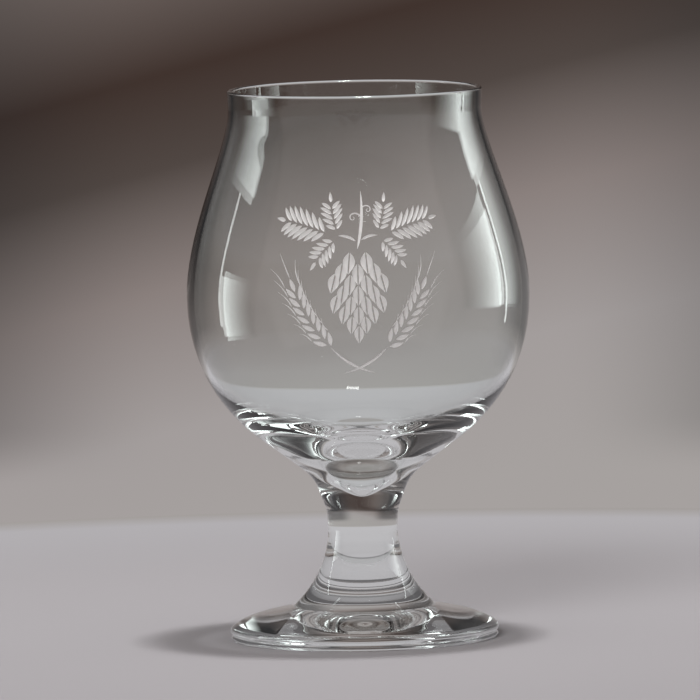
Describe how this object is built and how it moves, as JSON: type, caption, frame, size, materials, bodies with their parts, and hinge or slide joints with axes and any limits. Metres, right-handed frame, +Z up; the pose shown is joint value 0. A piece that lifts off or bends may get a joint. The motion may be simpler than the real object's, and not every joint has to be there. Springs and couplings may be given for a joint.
{
  "type": "stemmed beer glass",
  "caption": "Clear stemmed ale glass: a full belly drawn in to a narrow beaded mouth, on a short waisted stem and a broad hollow foot; holds and serves a drink.",
  "frame": {"origin": "middle of the flat ring that the foot stands on, at the level of the table", "axes": "+Z up along the axis of the glass, towards the mouth; -Y is the front, where the carved motif is"},
  "size_m": [0.0956, 0.0956, 0.1536],
  "materials": {
    "clear_glass": "clear soda-lime glass, fire-polished, with a sand-carved white motif on the front of the bowl"
  },
  "bodies": {
    "root": {"bowl": "clear_glass", "collar": "clear_glass", "stem": "clear_glass", "foot": "clear_glass"}
  },
  "joints": []
}
